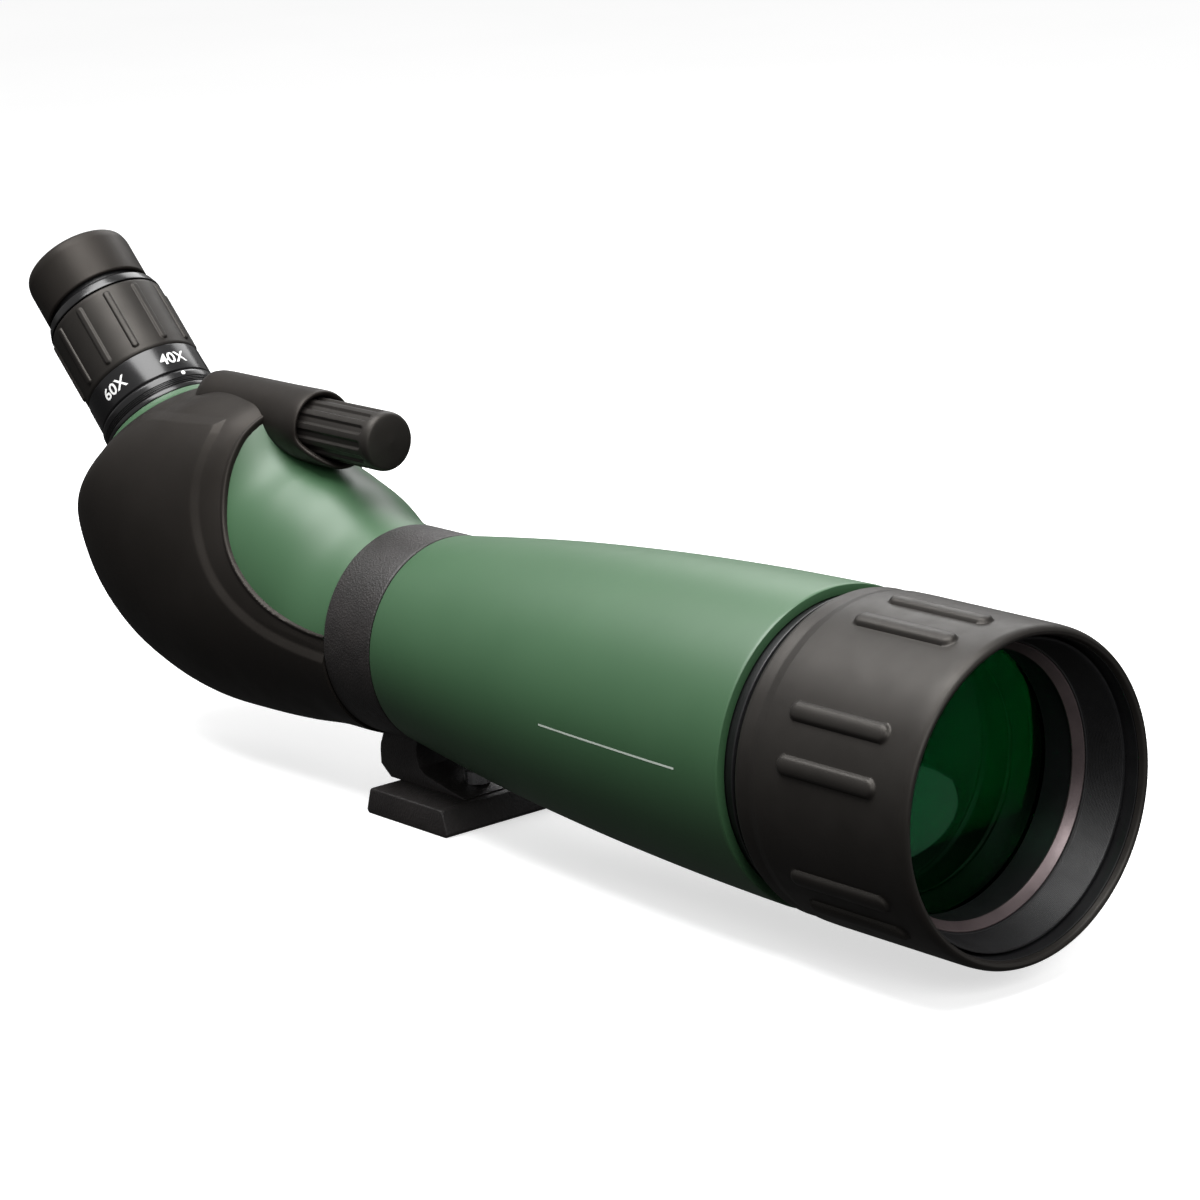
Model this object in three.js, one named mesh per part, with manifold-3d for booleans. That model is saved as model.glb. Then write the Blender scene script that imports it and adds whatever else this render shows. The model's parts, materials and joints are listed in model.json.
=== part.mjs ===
// Angled zoom spotting scope on a rotating collar with a tripod foot.
// Millimetres, +X along the optical axis towards the objective, +Y left, +Z up.
// The origin is the centre of the tripod foot's bottom face.
import * as THREE from 'three';
import { mergeVertices } from 'three/addons/utils/BufferGeometryUtils.js';
import Module from 'manifold-3d';

const wasm = await Module();
wasm.setup();

// ---- driving dimensions ----
const AXIS_HEIGHT = 69;          // optical axis above the foot's bottom face
const SIDES = 30;                // facets round the optical axis
const EYE_SIDES = 22;            // facets round the eyepiece axis
const GAP = 0.3;                 // clearance between neighbouring pieces
const TILT = Math.PI / 4;        // eyepiece leans back 45 degrees
const EYE_X = -130.5;            // where the eyepiece axis meets the optical axis
const COLLAR_R = 42.4, COLLAR_BORE = 38.2, COLLAR_BACK = -31.5, COLLAR_FRONT = -2.3;
const SLEEVE_R = 36.9, SLEEVE_BORE = 33;
const TUBE_BACK = -1.7, TUBE_FRONT = 219;
const CELL_R = 54.8;             // barrel that the dewshield slides on
const CELL_FRONT = 304.4, LENS_SEAT = 254.5;
const SHIELD_BACK = 228, SHIELD_FRONT = 312, SHIELD_R = 60;
const FOOT = { x: 26, y: 30, z: 11 };
const KNOB_Z = 75.6, KNOB_R = 12, BOSS_R = 15.1;
const PIVOT_X = -32, PIVOT_Z = 219.6;   // hub of the fan of housing sections
const FAN_T = 85.6;              // distance along the eyepiece axis of the fan's 45 degree plane

const group = new THREE.Group();
group.name = 'spotting_scope';

const LOOKS = {
  green_paint: [0x3f6b45, 0.42, 0.1],
  black_rubber: [0x2a2827, 0.85, 0],
  black_anodised: [0x151515, 0.35, 0.8],
  black_cast: [0x1f1d1c, 0.6, 0.6],
  bare_steel: [0xb8bbbf, 0.3, 1],
  brass: [0xb08d4a, 0.35, 1],
  coated_glass: [0x1f7a4d, 0.05, 0],
  clear_glass: [0xcfe0da, 0.05, 0],
  nylon: [0xd8d4c8, 0.6, 0],
};

function add(name, geometry, look) {
  const [color, roughness, metalness] = LOOKS[look];
  const material = new THREE.MeshStandardMaterial({ color, roughness, metalness });
  material.name = look;
  const mesh = new THREE.Mesh(clean(geometry), material);
  mesh.name = name;
  group.add(mesh);
}

// ---- mesh helpers ----
function weld(geometry) {
  const bare = new THREE.BufferGeometry();
  bare.setAttribute('position', geometry.getAttribute('position'));
  if (geometry.index) bare.setIndex(geometry.index);
  const joined = mergeVertices(bare, 1e-4);
  const index = joined.index.array, kept = [];
  for (let i = 0; i < index.length; i += 3) {
    const [a, b, c] = [index[i], index[i + 1], index[i + 2]];
    if (a !== b && b !== c && c !== a) kept.push(a, b, c);
  }
  joined.setIndex(kept);
  return joined;
}

function signedVolume(geometry) {
  const p = geometry.getAttribute('position'), index = geometry.index.array;
  const a = new THREE.Vector3(), b = new THREE.Vector3(), c = new THREE.Vector3();
  let total = 0;
  for (let i = 0; i < index.length; i += 3) {
    a.fromBufferAttribute(p, index[i]);
    b.fromBufferAttribute(p, index[i + 1]);
    c.fromBufferAttribute(p, index[i + 2]);
    total += a.dot(b.cross(c));
  }
  return total / 6;
}

function clean(geometry) {
  const g = weld(geometry);
  if (signedVolume(g) < 0) {
    const index = g.index.array;
    for (let i = 0; i < index.length; i += 3) [index[i], index[i + 1]] = [index[i + 1], index[i]];
  }
  g.computeVertexNormals();
  return g;
}

function solid(geometry) {
  const g = clean(geometry);
  return new wasm.Manifold(new wasm.Mesh({
    numProp: 3,
    vertProperties: new Float32Array(g.getAttribute('position').array),
    triVerts: new Uint32Array(g.index.array),
  }));
}

function shape(manifold) {
  const m = manifold.getMesh();
  const g = new THREE.BufferGeometry();
  g.setAttribute('position', new THREE.Float32BufferAttribute(Array.from(m.vertProperties), 3));
  g.setIndex(Array.from(m.triVerts));
  return g;
}

const join = (first, ...rest) => rest.reduce((sum, g) => sum.add(solid(g)), solid(first));
const cut = (body, ...tools) => tools.reduce((left, g) => left.subtract(solid(g)), body);

// profile: [distance along the axis, radius] pairs; closes on itself unless it starts and ends on the axis
function lathe(profile, sides) {
  const points = profile.map(([along, radius]) => new THREE.Vector2(radius, along));
  if (profile[0][1] > 0) points.push(points[0].clone());
  return new THREE.LatheGeometry(points, sides);
}

const turned = (profile, sides = SIDES) =>
  lathe(profile, sides).rotateZ(-Math.PI / 2).translate(0, 0, AXIS_HEIGHT);
const onEye = geometry =>
  geometry.rotateX(Math.PI / 2).rotateY(-TILT).translate(EYE_X, 0, AXIS_HEIGHT);
const eyeTurned = (profile, sides = EYE_SIDES) => onEye(lathe(profile, sides));
const ring = (x0, x1, r0, r1) => [[x0, r0], [x1, r0], [x1, r1], [x0, r1]];

function box(x0, x1, y0, y1, z0, z1) {
  return new THREE.BoxGeometry(x1 - x0, y1 - y0, z1 - z0)
    .translate((x0 + x1) / 2, (y0 + y1) / 2, (z0 + z1) / 2);
}

function rod(radius, length, axis, x, y, z, sides = 16) {
  const g = new THREE.CylinderGeometry(radius, radius, length, sides);
  if (axis === 'x') g.rotateZ(Math.PI / 2);
  if (axis === 'z') g.rotateX(Math.PI / 2);
  return g.translate(x, y, z);
}

// side outline in XZ, extruded across Y
function slab(outline, y0, y1, bevel = 0) {
  const s = new THREE.Shape(outline.map(([x, z]) => new THREE.Vector2(x, z)));
  const g = new THREE.ExtrudeGeometry(s, {
    depth: y1 - y0 - 2 * bevel, bevelEnabled: bevel > 0,
    bevelSize: bevel, bevelThickness: bevel, bevelSegments: 1, bevelOffset: -bevel,
  });
  return g.rotateX(Math.PI / 2).translate(0, y1 - bevel, 0);
}

// ---- collar and foot ----
const armOutline = [
  [-31.5, 40], [-31.5, 25.5], [-34, 22], [-34, 16], [-27, FOOT.z + GAP], [19, FOOT.z + GAP],
  [-8.5, 18], [-11, 21], [-9, 30], [-4, 40],
];
const collar = join(
  turned(ring(COLLAR_BACK, COLLAR_FRONT, 30, COLLAR_R)),
  slab(armOutline, -16, 16, 1),
  rod(7, 12, 'y', -16.9, 45, AXIS_HEIGHT),
);
add('mount_collar', shape(cut(collar,
  turned([[-60, 0], [-60, COLLAR_BORE], [40, COLLAR_BORE], [40, 0]]),
  rod(3.3, 30, 'y', -16.9, 45, AXIS_HEIGHT),
  rod(3.3, 30, 'z', 9, 0, 15),
  rod(5.6, 20, 'z', 9, 0, 23),
)), 'black_cast');
add('collar_liner', shape(cut(
  solid(turned(ring(-27, -7, SLEEVE_R + 0.4, COLLAR_BORE - GAP))),
  rod(3.6, 12, 'y', -16.9, 38, AXIS_HEIGHT))), 'nylon');

const footOutline = [
  [-FOOT.x, 1.2], [-FOOT.x + 1.2, 0], [FOOT.x - 1.2, 0], [FOOT.x, 1.2],
  [FOOT.x - 2.6, FOOT.z - 0.8], [FOOT.x - 3.4, FOOT.z], [-FOOT.x + 3.4, FOOT.z], [-FOOT.x + 2.6, FOOT.z - 0.8],
];
add('foot_plate', shape(cut(solid(slab(footOutline, -FOOT.y, FOOT.y, 1.2)),
  rod(6.3, 30, 'z', -13, 0, 5, 24),
  rod(3.3, 9, 'z', 9, 0, 8.5),
  rod(2.3, 6, 'z', 13, 17, 0, 16),
)), 'black_cast');
add('tripod_bush', shape(cut(solid(rod(6, FOOT.z - 1, 'z', -13, 0, 5.8, 24)),
  rod(3.2, 30, 'z', -13, 0, 5))), 'brass');
add('foot_screw', shape(cut(join(
  rod(5.2, 5, 'z', 9, 0, 15.8), rod(2.95, 9, 'z', 9, 0, 9)), rod(2.6, 4, 'z', 9, 0, 18.2, 6))), 'bare_steel');

// knurled thumb screw that clamps the scope in the collar
const thumb = new THREE.Shape();
for (let i = 0; i < 24; i++) {
  const r = i % 2 ? 9.2 : 10, a = i * Math.PI / 12;
  if (i) thumb.lineTo(r * Math.cos(a), r * Math.sin(a)); else thumb.moveTo(r, 0);
}
const thumbHead = new THREE.ExtrudeGeometry(thumb, {
  depth: 10, bevelEnabled: true, bevelSize: 0.8, bevelThickness: 0.8, bevelSegments: 1, bevelOffset: -0.8,
}).rotateX(-Math.PI / 2).translate(-16.9, 52.5, AXIS_HEIGHT);
add('clamp_screw', shape(join(thumbHead, rod(2.95, 14.5, 'y', -16.9, 46.6, AXIS_HEIGHT))), 'black_anodised');
add('clamp_pad', rod(2.9, 1.8, 'y', -16.9, 38.2, AXIS_HEIGHT), 'brass');

// ---- scope body ----
add('body_sleeve', turned([
  [-56, SLEEVE_BORE], [13, SLEEVE_BORE], [13, SLEEVE_R - 0.6], [12, SLEEVE_R], [-55, SLEEVE_R], [-56, SLEEVE_R - 0.6],
]), 'black_anodised');

const tubeOutside = [
  [TUBE_BACK, 41.7], [-1, 42.3], [30, 46.3], [60, 49.8], [92, 52.8], [130, 55.6], [170, 57.7], [200, 58.7],
  [TUBE_FRONT - 0.6, 59.1], [TUBE_FRONT, 58.7],
];
const tubeInside = [
  [TUBE_FRONT, 55.4], [170, 54.6], [92, 49.7], [30, 43.2], [16, 41.3], [16, SLEEVE_R + GAP], [TUBE_BACK, SLEEVE_R + GAP],
];
add('main_tube', turned([...tubeOutside, ...tubeInside]), 'green_paint');
add('front_baffle', turned(ring(150, 151, 46.3, 53.2)), 'black_anodised');
add('rear_baffle', turned(ring(60, 61, 36, 46.2)), 'black_anodised');

add('lens_cell', turned([
  [196, 49.2], [LENS_SEAT, 49.2], [LENS_SEAT, 51], [289.6, 51], [289.6, 51.6], [CELL_FRONT, 54],
  [CELL_FRONT, CELL_R], [227.6, CELL_R], [227.6, 56.8], [227, 57.4], [224.4, 57.4], [223.9, 56.9], [223.4, 57.4],
  [220, 57.4], [219.3, 56.8], [219.3, 54.9], [197, 54.4],
]), 'black_anodised');
const sag = (r, radius) => radius - Math.sqrt(radius * radius - r * r);
const lensRows = [0, 26, 50.6];
add('objective_crown', turned([
  ...lensRows.map(r => [LENS_SEAT + 20.7 - sag(r, 330), r]),
  ...[...lensRows].reverse().map(r => [LENS_SEAT + 7.3 + sag(r, 300), r]),
]), 'coated_glass');
add('objective_flint', turned([
  ...lensRows.map(r => [LENS_SEAT + 6.6 + sag(r, 305), r]),
  ...[...lensRows].reverse().map(r => [LENS_SEAT + 1.4 - sag(r, 2000), r]),
]), 'clear_glass');
add('retaining_ring', turned([
  [272.4, 48.3], [285, 48.3], [289.2, 50.7], [272.4, 50.7],
]), 'black_anodised');
add('shield_friction_ring', turned([
  [233, 54.95], [236, 54.95], [236, 55.6], [233, 55.6],
]), 'nylon');

// ---- dewshield ----
add('dewshield_tube', turned([
  [230, 55.9], [309, 55.9], [309, 57.3], [230, 57.3],
]), 'black_anodised');
add('dewshield_grip', turned([
  [SHIELD_BACK, 57.6], [SHIELD_BACK, 58.1], [SHIELD_BACK + 2.2, 59.5], [SHIELD_BACK + 6, SHIELD_R],
  [SHIELD_FRONT - 6, SHIELD_R], [SHIELD_FRONT - 1.8, 59.5], [SHIELD_FRONT, 58], [SHIELD_FRONT - 0.4, 56.6],
  [SHIELD_FRONT - 2.6, 56], [SHIELD_FRONT - 2.6, 57.6],
]), 'black_rubber');

// ---- prism housing ----
// Cross-sections fan round a hub above the collar. Each row: fan angle in degrees, near and far distance
// from the hub, half width, roundness, armour thickness. Rows with an offset lie parallel to the last plane.
const SECTIONS = [
  { fan: 0, near: 178.1, far: 261.1, half: 41.5, armour: 1.2 },
  { fan: 5, near: 170, far: 262.5, half: 41.8, armour: 1.6 },
  { fan: 10, near: 166, far: 267.5, half: 42.5, armour: 2.2 },
  { fan: 16, near: 166.5, far: 275.5, half: 43.5, armour: 2.4 },
  { fan: 22, near: 166, far: 285.5, half: 44.5, armour: 2.5 },
  { fan: 28, near: 156.5, far: 294.5, half: 45, armour: 2.5 },
  { fan: 33.5, near: 161.5, far: 299, half: 45, armour: 2.5 },
  { fan: 38.5, near: 172, far: 296, half: 44, armour: 2.5 },
  { fan: 45, t: 76, near: 186, far: 283, half: 41.5, armour: 2.4 },
  { fan: 45, t: 80.5, near: 191, far: 271, half: 37, armour: 2 },
  { fan: 45, t: 84, near: 194.5, far: 260, half: 32, armour: 1.5 },
  { fan: 45, t: 86.8, near: 195.9, far: 253.9, half: 29, armour: 1 },
];

function sectionRing(section, grow, count) {
  const { fan, near, far, half, t } = section;
  const angle = THREE.MathUtils.degToRad(fan);
  const out = new THREE.Vector3(-Math.sin(angle), 0, -Math.cos(angle));
  const along = new THREE.Vector3(-Math.cos(angle), 0, Math.sin(angle));
  const hub = new THREE.Vector3(PIVOT_X, 0, PIVOT_Z + AXIS_HEIGHT);
  if (t !== undefined) hub.addScaledVector(along, t - FAN_T);
  const middle = (near + far) / 2, reach = (far - near) / 2 + grow;
  const points = [];
  for (let i = 0; i < count; i++) {
    const a = i / count * 2 * Math.PI;
    points.push(hub.clone().addScaledVector(out, middle + reach * Math.cos(a))
      .add(new THREE.Vector3(0, (half + grow) * Math.sin(a), 0)));
  }
  return points;
}

// closed skin through rings of points, open-ended tube when an inner set is given
function loft(outer, inner) {
  const count = outer[0].length, rows = inner ? [...outer, ...[...inner].reverse()] : outer;
  const positions = rows.flat().flatMap(p => [p.x, p.y, p.z]), index = [];
  const quad = (a, b, c, d) => index.push(a, b, c, a, c, d);
  const last = inner ? rows.length : rows.length - 1;
  for (let r = 0; r < last; r++) {
    const s = (r + 1) % rows.length;
    for (let i = 0; i < count; i++) {
      const j = (i + 1) % count;
      quad(r * count + i, r * count + j, s * count + j, s * count + i);
    }
  }
  if (!inner) {
    for (const r of [0, rows.length - 1]) {
      const centre = new THREE.Vector3();
      rows[r].forEach(p => centre.addScaledVector(p, 1 / count));
      const c = positions.length / 3;
      positions.push(centre.x, centre.y, centre.z);
      for (let i = 0; i < count; i++) {
        const j = (i + 1) % count;
        if (r === 0) index.push(c, r * count + j, r * count + i);
        else index.push(c, r * count + i, r * count + j);
      }
    }
  }
  const g = new THREE.BufferGeometry();
  g.setAttribute('position', new THREE.Float32BufferAttribute(positions, 3));
  g.setIndex(index);
  return g;
}

const RING_POINTS = 24;
const rings = grow => SECTIONS.map(s => sectionRing(s, typeof grow === 'function' ? grow(s) : grow, RING_POINTS));
const shaftBore = rod(7.3, 39, 'x', -89.5, 0, AXIS_HEIGHT + KNOB_Z);
add('prism_housing', shape(cut(solid(loft(rings(0), rings(-3))), shaftBore)), 'green_paint');

const armourRegion = slab([
  [-92, 70], [-99, 79], [-104.5, 68], [-105, 58], [-102, 46], [-97, 34], [-89, 23], [-74, 13], [-55, 6], [-32.8, 4],
  [-32.8, -70], [-290, -70], [-290, 140], [-92, 140],
].map(([x, z]) => [x, z + AXIS_HEIGHT]), -70, 70);
const neckKeep = eyeTurned([[82, 0], [82, 120], [140, 120], [140, 0]], 16);
const armour = solid(loft(rings(s => s.armour))).intersect(solid(armourRegion)).subtract(solid(neckKeep))
  .add(solid(new THREE.CylinderGeometry(BOSS_R, BOSS_R - 3, 64, 24).rotateZ(-Math.PI / 2)
    .translate(-120, 0, AXIS_HEIGHT + KNOB_Z)).subtract(solid(neckKeep)));
add('rear_armour', shape(cut(armour, loft(rings(GAP)), rod(7.3, 60, 'x', -80, 0, AXIS_HEIGHT + KNOB_Z))), 'black_rubber');

// ---- focus drive ----
const knobShape = new THREE.Shape();
for (let i = 0; i < 36; i++) {
  const r = i % 3 === 0 ? KNOB_R - 1.2 : KNOB_R, a = i * Math.PI / 18;
  if (i) knobShape.lineTo(r * Math.cos(a), r * Math.sin(a)); else knobShape.moveTo(r, 0);
}
const knobGrip = new THREE.ExtrudeGeometry(knobShape, { depth: 44, bevelEnabled: false })
  .rotateY(Math.PI / 2).translate(-84, 0, AXIS_HEIGHT + KNOB_Z);
const knobEnd = lathe([
  [-85.6, 0], [-85.6, 8.6], [-85, 9.2], [-40, 9.2], [-40, KNOB_R], [-38.2, KNOB_R], [-36.4, 11.2], [-35.4, 9], [-35, 0],
], 24).rotateZ(-Math.PI / 2).translate(0, 0, AXIS_HEIGHT + KNOB_Z);
add('focus_knob', shape(cut(join(knobGrip, knobEnd), rod(3.4, 52, 'x', -69, 0, AXIS_HEIGHT + KNOB_Z))), 'black_rubber');
add('focus_shaft', rod(3, 104, 'x', -96, 0, AXIS_HEIGHT + KNOB_Z, 16), 'bare_steel');
add('shaft_bush', lathe(ring(-103, -90, 3.4, 6.9), 16).rotateZ(-Math.PI / 2)
  .translate(0, 0, AXIS_HEIGHT + KNOB_Z), 'brass');

const Z = AXIS_HEIGHT;
const carriage = join(
  turned(ring(-74, -66, 19, 23.5)),
  box(-74, -66, -30, -20, Z - 5, Z + 5), box(-74, -66, 20, 30, Z - 5, Z + 5),
  box(-73.5, -66.5, -4, 4, Z + 22, Z + 46), box(-127, -66.5, -4, 4, Z + 42.5, Z + 46),
  box(-127, -121, -4, 4, Z + 42.5, Z + 72), rod(5.2, 6, 'x', -124, 0, Z + 74.5, 16),
);
add('focus_carriage', shape(cut(carriage, rod(3.4, 20, 'x', -124, 0, Z + KNOB_Z, 16),
  rod(2.2, 20, 'x', -70, -26, Z, 16), rod(2.2, 20, 'x', -70, 26, Z, 16))), 'black_anodised');
add('focusing_lens', turned([
  ...[0, 18.6].map(r => [-68 - sag(r, 110), r]), ...[18.6, 0].map(r => [-72.6 + sag(r, 160), r]),
], 32), 'clear_glass');
for (const [name, y] of [['guide_rod_right', -26], ['guide_rod_left', 26]]) {
  add(name, rod(1.8, 62, 'x', -75, y, Z, 16), 'bare_steel');
}

// ---- prisms ----
const frame = join(
  box(-110, -106.3, -31, 31, Z - 22, Z + 24),
  box(-183, -108, -21, 21, Z - 22, Z - 18),
  box(-176, -108, -21, -18, Z - 20, Z + 12), box(-176, -108, 18, 21, Z - 20, Z + 12),
);
add('prism_frame', shape(cut(frame, rod(16, 10, 'x', -108, 0, Z, 28),
  rod(2.0, 10, 'x', -108, -26, Z, 16), rod(2.0, 10, 'x', -108, 26, Z, 16))), 'black_cast');
const prismA = [[-110.4, -17], [-110.4, 17], [-126, 17], [-143, -17]];
const prismB = [[-127, 17], [-144, -17], [-176, -12], [-176, 17.5], [-152, 41.5], [-134, 33]];
const lift = outline => outline.map(([x, z]) => [x, z + Z]);
add('entry_prism', slab(lift(prismA), -17, 17, 0.6), 'clear_glass');
add('roof_prism', slab(lift(prismB), -17, 17, 0.6), 'clear_glass');
add('prism_clip', shape(join(
  box(-146, -140, -23, 23, Z + 39.2, Z + 40.2), box(-146, -140, -23, -21.4, Z - 6, Z + 40),
  box(-146, -140, 21.4, 23, Z - 6, Z + 40))), 'bare_steel');

// ---- eyepiece, fixed parts ----
add('eyepiece_flange', eyeTurned([
  [78, 18.9], [87, 18.9], [87, 25.6], [80, 25.6], [80, 22.5], [78, 22.5],
]), 'black_anodised');
add('index_ring', eyeTurned([
  [87.4, 19], [96.6, 19], [96.6, 26.6], [96.1, 27.2], [91.4, 27.2], [90.9, 26.7], [90.4, 27.4], [87.9, 27.8], [87.4, 27.3],
]), 'black_anodised');
add('eyepiece_barrel', eyeTurned([
  [62, 16.2], [150, 16.2], [150, 14.2], [152, 14.2], [152, 18.4], [62, 18.4],
]), 'black_anodised');
add('field_stop', eyeTurned(ring(103, 104.4, 9, 15.9), 18), 'black_anodised');
add('eye_lens', eyeTurned([
  ...[0, 13.4].map(r => [158.4 - sag(r, 48), r]), ...[13.4, 0].map(r => [151.2 + sag(r, 60), r]),
], 24), 'coated_glass');
add('eye_lens_cell', eyeTurned([
  [152.3, 13.7], [157.6, 13.7], [157.6, 12.8], [158.8, 12.8], [158.8, 17.6], [152.3, 17.6],
], 24), 'black_anodised');

// ---- zoom ring and the two moving lens groups ----
add('zoom_ring', eyeTurned([
  [97, 18.8], [151.2, 18.8], [151.2, 25.2], [150.4, 26], [148.4, 26.6], [147.2, 26.4], [147.2, 23], [110.9, 23],
  [110.9, 26.3], [97.6, 26.5], [97, 25.9],
]), 'black_anodised');
const gripShape = new THREE.Shape();
for (let i = 0; i < 48; i++) {
  const r = i % 4 === 0 ? 26.9 : 26.2, a = i * Math.PI / 24;
  if (i) gripShape.lineTo(r * Math.cos(a), r * Math.sin(a)); else gripShape.moveTo(r, 0);
}
gripShape.holes.push(new THREE.Path().absarc(0, 0, 23.3, 0, 2 * Math.PI, true));
add('zoom_grip', onEye(new THREE.ExtrudeGeometry(gripShape, { depth: 35.6, bevelEnabled: false, curveSegments: EYE_SIDES })
  .rotateX(-Math.PI / 2).translate(0, 111.3, 0)), 'black_rubber');
for (const [name, start, focal] of [['front', 72, 52], ['rear', 120, 44]]) {
  add(`zoom_cell_${name}`, eyeTurned([
    [start, 12.3], [start + 9, 12.3], [start + 9, 11.2], [start + 10.4, 11.2], [start + 10.4, 15.8], [start, 15.8],
  ], 24), 'black_anodised');
  add(`zoom_lens_${name}`, eyeTurned([
    ...[0, 11.9].map(r => [start + 8.6 - sag(r, focal), r]), ...[11.9, 0].map(r => [start + 1.4 + sag(r, focal), r]),
  ], 24), 'clear_glass');
}

// ---- twist-up eyecup ----
add('eyecup_sleeve', eyeTurned([
  [152.6, 18.2], [168, 18.2], [168, 21.3], [157.2, 21.3], [157.2, 22.2], [152.6, 22.2],
]), 'black_anodised');
add('eyecup', eyeTurned([
  [157.6, 21.6], [172.8, 21.6], [174, 17.6], [176.2, 17.4], [177, 18.6], [176.8, 21.4], [175, 23.2], [172.4, 23.8], [157.6, 23.8],
]), 'black_rubber');

export default group;
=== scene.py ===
"""Angled zoom spotting scope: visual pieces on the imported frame, floor, light and camera."""
import json
import math

import bmesh
import bpy
import numpy as np
from mathutils import Matrix, Vector


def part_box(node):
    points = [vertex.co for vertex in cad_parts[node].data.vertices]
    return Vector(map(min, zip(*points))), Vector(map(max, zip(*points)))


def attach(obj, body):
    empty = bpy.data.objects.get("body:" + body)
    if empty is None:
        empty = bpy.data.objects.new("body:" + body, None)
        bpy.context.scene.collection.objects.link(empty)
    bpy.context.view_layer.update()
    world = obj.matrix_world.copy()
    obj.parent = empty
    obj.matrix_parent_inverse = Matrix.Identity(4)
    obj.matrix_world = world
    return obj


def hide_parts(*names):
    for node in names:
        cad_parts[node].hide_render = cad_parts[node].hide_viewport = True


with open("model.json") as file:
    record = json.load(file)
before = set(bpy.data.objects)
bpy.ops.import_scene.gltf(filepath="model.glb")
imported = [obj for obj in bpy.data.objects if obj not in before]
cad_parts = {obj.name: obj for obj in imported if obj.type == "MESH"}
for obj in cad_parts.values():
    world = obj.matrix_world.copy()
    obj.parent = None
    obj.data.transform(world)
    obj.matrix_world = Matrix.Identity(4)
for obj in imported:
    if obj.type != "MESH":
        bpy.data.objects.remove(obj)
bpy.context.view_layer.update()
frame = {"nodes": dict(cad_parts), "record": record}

AXIS = 69.0                      # optical axis above the floor, mm
EYE = np.array([-130.5, 0.0, AXIS])
TILT = math.pi / 4
EYE_ALONG = np.array([-math.sin(TILT), 0.0, math.cos(TILT)])
EYE_UP = np.array([math.cos(TILT), 0.0, math.sin(TILT)])
SIDE = np.array([0.0, 1.0, 0.0])
CLAMP_X = -16.9                  # clamp screw, across the tube
KNOB_CENTRE = 1000 * (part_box("focus_shaft")[0][2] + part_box("focus_shaft")[1][2]) / 2


# ---------------------------------------------------------------- materials
def coordinates(nodes, links):
    return nodes.new("ShaderNodeTexCoord").outputs["Object"]


def noise(nodes, links, where, scale, detail=4.0, roughness=0.55):
    n = nodes.new("ShaderNodeTexNoise")
    n.inputs["Scale"].default_value = scale
    n.inputs["Detail"].default_value = detail
    n.inputs["Roughness"].default_value = roughness
    links.new(where, n.inputs["Vector"])
    return n.outputs["Fac"]


def ramp(nodes, links, fac, stops):
    r = nodes.new("ShaderNodeValToRGB")
    r.color_ramp.elements[0].position, r.color_ramp.elements[0].color = stops[0][0], (*stops[0][1], 1)
    r.color_ramp.elements[1].position, r.color_ramp.elements[1].color = stops[-1][0], (*stops[-1][1], 1)
    for place, colour in stops[1:-1]:
        r.color_ramp.elements.new(place).color = (*colour, 1)
    links.new(fac, r.inputs["Fac"])
    return r.outputs["Color"]


def spread(nodes, links, fac, low, high):
    m = nodes.new("ShaderNodeMapRange")
    m.inputs["From Min"].default_value, m.inputs["From Max"].default_value = 0.3, 0.7
    m.inputs["To Min"].default_value, m.inputs["To Max"].default_value = low, high
    links.new(fac, m.inputs["Value"])
    return m.outputs["Result"]


def finish(name, dark, light, rough, grain=900, grain_depth=0.15, patch=60, metallic=0.0, specular=0.5,
           coat=0.0, coat_rough=0.1, wrinkle=0, wrinkle_depth=0.0, tint=None, edge=None):
    """Two close colours in soft patches, uneven gloss, a fine grain, and paler rubbed edges."""
    m = bpy.data.materials.new(name)
    m.use_nodes = True
    nodes, links = m.node_tree.nodes, m.node_tree.links
    shader = nodes["Principled BSDF"]
    where = coordinates(nodes, links)
    patches = noise(nodes, links, where, patch, 3.0)
    colour = ramp(nodes, links, patches, [(0.3, dark), (0.7, light)])
    if edge:
        worn = nodes.new("ShaderNodeNewGeometry").outputs["Pointiness"]
        mask = nodes.new("ShaderNodeMapRange")
        mask.inputs["From Min"].default_value, mask.inputs["From Max"].default_value = 0.53, 0.62
        links.new(worn, mask.inputs["Value"])
        mix = nodes.new("ShaderNodeMix")
        mix.data_type = "RGBA"
        mix.inputs["B"].default_value = (*edge, 1)
        links.new(mask.outputs["Result"], mix.inputs["Factor"])
        links.new(colour, mix.inputs["A"])
        colour = mix.outputs["Result"]
    links.new(colour, shader.inputs["Base Color"])
    links.new(spread(nodes, links, noise(nodes, links, where, patch * 2.5, 4.0), rough[0], rough[1]),
              shader.inputs["Roughness"])
    shader.inputs["Metallic"].default_value = metallic
    shader.inputs["Specular IOR Level"].default_value = specular
    shader.inputs["Coat Weight"].default_value = coat
    shader.inputs["Coat Roughness"].default_value = coat_rough
    if tint:
        shader.inputs["Specular Tint"].default_value = (*tint, 1)
    height = noise(nodes, links, where, grain, 3.0, 0.6)
    bump = nodes.new("ShaderNodeBump")
    bump.inputs["Strength"].default_value = grain_depth
    bump.inputs["Distance"].default_value = 0.0002
    links.new(height, bump.inputs["Height"])
    if wrinkle:
        cells = nodes.new("ShaderNodeTexVoronoi")
        cells.inputs["Scale"].default_value = wrinkle
        cells.feature = "SMOOTH_F1"
        links.new(where, cells.inputs["Vector"])
        second = nodes.new("ShaderNodeBump")
        second.inputs["Strength"].default_value = wrinkle_depth
        second.inputs["Distance"].default_value = 0.0004
        links.new(cells.outputs["Distance"], second.inputs["Height"])
        links.new(bump.outputs["Normal"], second.inputs["Normal"])
        bump = second
    links.new(bump.outputs["Normal"], shader.inputs["Normal"])
    return m


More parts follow.
